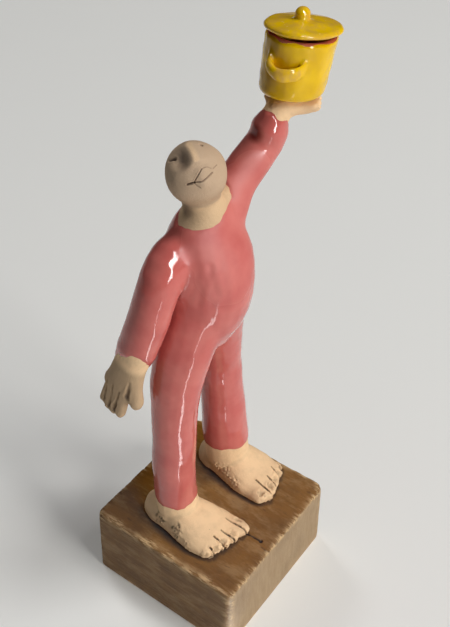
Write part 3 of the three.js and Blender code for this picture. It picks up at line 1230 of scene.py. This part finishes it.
def spun(profile: list[Pair], steps: int = 96) -> bmesh.types.BMesh:
    """Spins a profile about the upright axis.

    Args:
        profile: Radius and height pairs from the axis below, round, to the axis above.
        steps: How many faces go round.

    Returns:
        The closed shape.
    """
    shape = bmesh.new()
    spots = [shape.verts.new((radius, 0, height)) for radius, height in profile]
    geom = [*spots, *(shape.edges.new(pair) for pair in zip(spots, spots[1:]))]
    turn = {"cent": (0, 0, 0), "axis": (0, 0, 1), "angle": 2 * math.pi}
    bmesh.ops.spin(shape, geom=geom, steps=steps, use_merge=True, **turn)
    bmesh.ops.remove_doubles(shape, verts=shape.verts, dist=1e-4)
    bmesh.ops.recalc_face_normals(shape, faces=shape.faces)
    return shape


def arc(middle: Pair, size: float, start: float, end: float, count: int = 8) -> list[Pair]:
    """Gives the points of an arc of some size in a profile, between two angles in degrees."""
    angles = np.radians(np.linspace(start, end, count + 1))
    return [(max(middle[0] + size * math.cos(a), 0), middle[1] + size * math.sin(a)) for a in angles]


@dataclass
class Pot:
    """The small hollow pot with its uneven rim and two strap lugs.

    A lug's sections are the bearing from its middle, the distance from the axis and the height.
    """

    place: PotPlace
    finish: Finish = YellowGlaze()
    foot_radius: float = 9.4
    top_radius: float = 10.3
    foot_rounding: float = 2.6
    wall: float = 1.9
    inner_rounding: float = 1.2
    rim_dip: float = 0.7
    dip_bearing: float = 215.0
    lug_bearing: float = 190.0
    shoulder: float = 3.2
    shoulder_turn: float = 0.75
    lug_half_width: float = 1.9
    lug_half_thickness: float = 1.1
    lug_sections: tuple = (
        (-31, 9.2, 12.6),
        (-18, 11.7, 10.2),
        (0, 12.7, 8.9),
        (19, 11.7, 9.2),
        (35, 9.6, 10.5),
    )
    lug_worn: Pair = (10.9, 11.7)
    # Balls of painted shade on the pot's left side, one low and one higher up.
    shade_patches: tuple = (((-8.3, 4.6, 4.5), 2, 8), ((-8.6, 4.2, 14.5), 2, 6))
    voxel: float = 0.36

    def dip(self, bearing: Array | float) -> Array:
        """Gives how far the rim dips at a bearing in radians."""
        return self.rim_dip * (0.5 + 0.5 * np.cos(bearing - math.radians(self.dip_bearing))) ** 2

    def lug(self, bearing: float) -> bmesh.types.BMesh:
        """Bends one strap round the wall.

        Args:
            bearing: Where its middle is, in degrees.

        Returns:
            The closed strap.
        """
        shape = bmesh.new()
        ring = bmesh.ops.create_circle(shape, cap_ends=True, segments=14, radius=1)["verts"]
        face = next(iter(shape.faces))
        angles = [math.atan2(v.co.y, v.co.x) for v in ring]
        rows = through(self.lug_sections, 17)
        for number, (turn, reach, height) in enumerate(rows):
            if number:
                made = bmesh.ops.extrude_face_region(shape, geom=[face])["geom"]
                face = next(g for g in made if isinstance(g, bmesh.types.BMFace))
            around = math.radians(bearing + turn)
            out = Vector((math.cos(around), math.sin(around), 0))
            share = number / (len(rows) - 1)
            broad = self.lug_half_width * (0.6 + 0.62 * share)
            thick = self.lug_half_thickness * (1 - 0.35 * share)
            for vertex, angle in zip(face.verts, angles):
                rise = Vector((0, 0, height + math.sin(angle) * broad))
                vertex.co = out * (reach + math.cos(angle) * thick) + rise
        bmesh.ops.recalc_face_normals(shape, faces=shape.faces)
        return shape

    def body(self) -> bmesh.types.BMesh:
        """Turns the hollow body, lets its rim dip and draws its shoulder in.

        Returns:
            The closed shape, without lugs.
        """
        lip = self.wall / 2
        tall = self.place.height
        inner = self.foot_radius - self.wall - self.inner_rounding
        shape = spun([
            (0, 0),
            *arc((self.foot_radius - self.foot_rounding, self.foot_rounding), self.foot_rounding, -90, 0),
            *arc((self.top_radius - lip, tall - lip), lip, 0, 180),
            *arc((inner, self.wall + self.inner_rounding), self.inner_rounding, 0, -90, 5),
            (0, self.wall),
        ])
        for vertex in shape.verts:
            near_rim = float(eased(np.array(vertex.co.z), tall - 4, tall - lip))
            vertex.co.z -= near_rim * self.dip(math.atan2(vertex.co.y, vertex.co.x))
            turned = max(0, 1 - (tall - vertex.co.z) / self.shoulder) ** 2
            vertex.co.xy *= 1 - self.shoulder_turn * turned / self.top_radius
        return shape

    def build(self) -> None:
        """Models the pot."""
        shape = self.body()
        for bearing in (self.lug_bearing, self.lug_bearing + 180):
            mesh = mesh_of(self.lug(bearing))
            shape.from_mesh(mesh)
            bpy.data.meshes.remove(mesh)
        clay = Clay.covered(shape, self.voxel)
        tall = self.place.height
        away = np.hypot(*clay.points.T[:2])
        height = clay.points[:, 2]
        outside = eased(away, 8.9, 9.2)
        clay.smooth(8)
        clay.fill(22, outside)
        clay.smooth(6)
        x, y, _ = clay.points.T
        edge = tall - self.dip(np.arctan2(y, x)) - 0.5 + 0.2 * ripple(clay.points, 6, 33)
        top = eased(height - edge, -0.1, 0.1)
        clay.move(outside * (0.09 * ripple(clay.points, 7, 31) + 0.03 * ripple(clay.points, 3, 32)))
        clay.paint("bare", np.maximum(top, eased(away, 8.4, 8.0) * eased(height, tall - 3.5, tall - 2.5)))
        # Painted shade on the pot's left side joins the hollows, where the glaze pools and shade is
        # painted.
        shade_patch = np.max([clay.near(*ball) for ball in self.shade_patches], axis=0)
        clay.paint("hollow", np.maximum(clay.hollows(30, 0.4), 0.6 * shade_patch))
        clay.paint("worn", eased(away, *self.lug_worn))
        clay.piece("pot_clay", self.finish, "pot", self.place.matrix() @ self.place.leaning())


@dataclass
class Lid:
    """The low domed lid with its ball knob."""

    place: PotPlace
    finish: Finish = YellowGlaze()
    radius: float = 10.85
    edge: float = 0.95
    rim_height: float = 1.7
    dome: float = 0.9
    knob_radius: float = 2.15
    knob_sink: float = 0.85
    knob_shift: Pair = (-0.4, 0.5)
    rest_gap: float = 0.3
    wear: float = 0.6
    voxel: float = 0.34

    def build(self) -> None:
        """Models the lid."""
        knob = self.rim_height + self.dome + self.knob_radius - self.knob_sink
        slope = self.radius - self.edge
        shares = np.linspace(0.92, 0.25, 12)
        profile = [
            (0, 0),
            *arc((slope, self.edge), self.edge, -90, 60, 10),
            *((s * slope, self.rim_height + self.dome * math.cos(s * math.pi / 2)) for s in shares),
            *arc((0, knob), self.knob_radius, -40, 90, 14),
        ]
        clay = Clay.covered(spun(profile), self.voxel)
        plate = eased(np.hypot(clay.points[:, 0], clay.points[:, 1]), 3.2, 4.2)
        lifted = eased(clay.points[:, 2], self.rim_height, self.rim_height + self.dome)
        clay.points[:, :2] += (lifted * (1 - plate))[:, None] * self.knob_shift
        clay.smooth(40)
        clay.smooth(30, plate * eased(clay.points[:, 2], 1, 1.6), 0)
        clay.fill(20, 1 - plate)
        clay.move(0.05 * ripple(clay.points, 9, 41))
        clay.paint("bare", eased(clay.points[:, 2], 0.3, 0.1))
        clay.paint("hollow", np.maximum(clay.hollows(20, 0.8), 0))
        clay.paint("worn", np.full(len(clay.points), self.wear))
        shift = Matrix.Translation((*self.place.lean, self.place.height + self.rest_gap))
        clay.piece("lid_clay", self.finish, "lid", self.place.matrix() @ shift)


@dataclass
class WoodenBlock:
    """The worn offcut that the figure stands on, its grain along Y.

    The pit and the painted contact shadow and soiling about the feet are each two distances, from the
    crack's end and from the feet.
    """

    finish: Finish = BareWood()
    voxel: float = 0.62
    swell: float = 0.01
    crack: tuple[Pair, Pair] = ((-5, -19), (-4.7, -25.2))
    crack_half: float = 0.4
    crack_depth: float = 0.9
    pit: Pair = (0.3, 0.9)
    foot_shade_and_grime: Pair = (1.8, 1)
    foot_shade_share: float = 0.65

    def build(self, node: Thing, standing: Thing) -> None:
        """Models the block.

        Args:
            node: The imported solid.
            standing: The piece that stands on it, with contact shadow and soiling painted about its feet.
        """
        clay = Clay.copied(node, self.voxel)
        low, high = clay.points.min(axis=0), clay.points.max(axis=0)
        clay.points[:, :2] += self.swell * (clay.points - (low + high) / 2)[:, :2]
        clay.smooth(2)
        for _ in range(2):
            gap = line_distance(clay.points[:, :2], self.crack)
            clay.refine((clay.points[:, 2] > high[2] - 0.3) & (gap < 1.6))
        edge = -np.minimum(clay.hollows(12, 0.4), 0)
        height = clay.points[:, 2]
        upper = eased(height, high[2] - 0.4, high[2] - 0.1)
        above = eased(height, low[2] + 0.4, low[2] + 1.2)
        fibres = clay.points * [1, 0.08, 1]
        grain = np.abs(0.04 * ripple(fibres, 1.5, 51) + 0.04 * ripple(fibres, 5, 52))
        frayed = 0.4 * ripple(clay.points * [1, 0.25, 1], 1.3, 53) + 0.4 * ripple(clay.points, 6, 56)
        frayed = np.clip(0.4 + frayed, 0, 1.3)
        gap = line_distance(clay.points[:, :2], self.crack) + 0.05 * ripple(clay.points, 2, 54)
        crack = np.clip(1 - np.abs(gap) / self.crack_half, 0, 1) * upper
        crack = np.maximum(crack, clay.near((*self.crack[1], high[2]), *self.pit))
        clay.move(-above * (0.2 * edge * frayed + grain * (0.4 + 0.6 * upper)) - self.crack_depth * crack)
        patchy = 1 + 0.5 * ripple(clay.points, 9, 57)
        border = upper * eased(clay.points[:, 0], low[0] + 5, low[0] + 2) * patchy
        clay.paint("edge", np.clip(np.maximum(edge * (0.4 + frayed), border), 0, 1))
        clay.paint("top", upper)
        clay.paint("end", eased(np.abs(clay.normals()[:, 1]), 0.5, 0.85) * (1 - upper))
        # Painted contact shadow and soiling darken the top around the feet, and the crack is darkened too.
        feet = np.array([v.co / MM for v in standing.data.vertices if v.co.z / MM < high[2] + 0.6])[:, :2]
        gaps = np.full(len(clay.points), FAR)
        for index in np.flatnonzero(upper > 0):
            gaps[index] = np.hypot(*(feet - clay.points[index, :2]).T).min()
        clay.darken(np.minimum(1, np.maximum(self.foot_shade_share * eased(gaps, *self.foot_shade_and_grime), 1.5 * crack)))
        clay.paint("dirt_and_shade", clay.dirt_and_shade)
        clay.piece("wooden_block_worn", self.finish, "wooden_block")


@dataclass(frozen=True)
class Panel:
    """A soft lamp panel at a place in millimetres, which looks at another, its height along a direction."""

    name: str
    place: Spot
    size: Pair
    power: float
    light: Light = Light.BODY
    aim: Spot = (8, 0, 100)
    along: Spot = (0, 0, 1)
    tint: Spot = (1, 1, 1)

    def build(self) -> None:
        """Hangs the panel."""
        lamp = bpy.data.lights.new(self.name, "AREA")
        lamp.shape = "RECTANGLE"
        lamp.size, lamp.size_y = (side * MM for side in self.size)
        lamp.energy = self.power
        lamp.color = self.tint
        made = added(self.name, lamp)
        back = (Vector(self.place) - Vector(self.aim)).normalized()
        across = Vector(self.along).cross(back).normalized()
        turn = Matrix((across, back.cross(across), back)).transposed().to_4x4()
        made.matrix_world = Matrix.Translation(Vector(self.place) * MM) @ turn
        made.visible_camera = False
        made.visible_diffuse = self.light is Light.BODY
        made.visible_glossy = self.light is Light.GLOSS


@dataclass
class Studio:
    """The camera at the photograph's place, a plain pale floor and soft lamps."""

    floor_finish: Finish = PaleFloor()
    camera_place: Spot = (-166.939, -132.706, 294.635)
    aim: Spot = (3.428, -4.558, 117.489)
    roll: float = -0.7465
    lens: float = 52.054
    sensor: float = 36
    clip: Pair = (10, 20000)
    floor_half: float = 9000
    panels: tuple[Panel, ...] = (
        Panel("low_window", (-335, -2390, 750), (600, 600), 28, tint=(1, 0.98, 0.95)),
        Panel("high_window", (240, -1900, 1710), (600, 600), 16, tint=(1, 0.98, 0.95)),
        Panel("behind", (760, 1760, 1710), (600, 600), 10),
        Panel("above", (640, -850, 2370), (600, 600), 22),
        Panel("skylight", (-180, -295, 732), (55, 360), 3.6, Light.GLOSS, (-15, 0, 147), (0.42, 0.76, 0.5)),
        Panel("pane", (-267, -635, 520), (130, 720), 9, Light.GLOSS, (25, -10, 180)),
        Panel("sill", (-109, -142, 4), (10, 270), 0.07, Light.GLOSS, (-109, -142, 9), (-0.6, -0.8, 0)),
    )
    sky: Tint = (205, 208, 214)
    sky_strength: float = 0.02

    def camera(self) -> None:
        """Sets the camera up."""
        lens = bpy.data.cameras.new("camera")
        lens.sensor_width = self.sensor
        lens.lens = self.lens
        lens.clip_start, lens.clip_end = (end * MM for end in self.clip)
        made = added("camera", lens)
        place, aim = Vector(self.camera_place) * MM, Vector(self.aim) * MM
        turn = (aim - place).to_track_quat("-Z", "Y").to_matrix().to_4x4()
        roll = Matrix.Rotation(math.radians(self.roll), 4, "Z")
        made.matrix_world = Matrix.Translation(place) @ turn @ roll
        bpy.context.scene.camera = made

    def floor(self) -> None:
        """Lays the floor just under the block."""
        shape = bmesh.new()
        bmesh.ops.create_grid(shape, x_segments=2, y_segments=2, size=self.floor_half * MM)
        mesh = mesh_of(shape)
        mesh.materials.append(self.floor_finish.material())
        added("floor", mesh)

    def build(self) -> None:
        """Sets up everything around the object."""
        self.camera()
        self.floor()
        for panel in self.panels:
            panel.build()
        world = bpy.data.worlds.new("studio")
        world.use_nodes = True
        sky = world.node_tree.nodes["Background"]
        sky.inputs["Color"].default_value = colour(*self.sky)
        sky.inputs["Strength"].default_value = self.sky_strength
        bpy.context.scene.world = world
        bpy.context.scene.view_settings.view_transform = "Standard"


def main() -> None:
    """Builds the figure, the pot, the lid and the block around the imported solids."""
    logging.basicConfig(level=logging.INFO, format="%(name)s %(message)s")
    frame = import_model()
    nodes = frame["nodes"]
    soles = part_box("wooden_block")[1].z / MM
    Studio().build()
    figure = Figure(soles).build(nodes["figure"])
    WoodenBlock().build(nodes["wooden_block"], figure)
    place = PotPlace(soles)
    Pot(place).build()
    Lid(place).build()


if __name__ == "__main__":
    main()
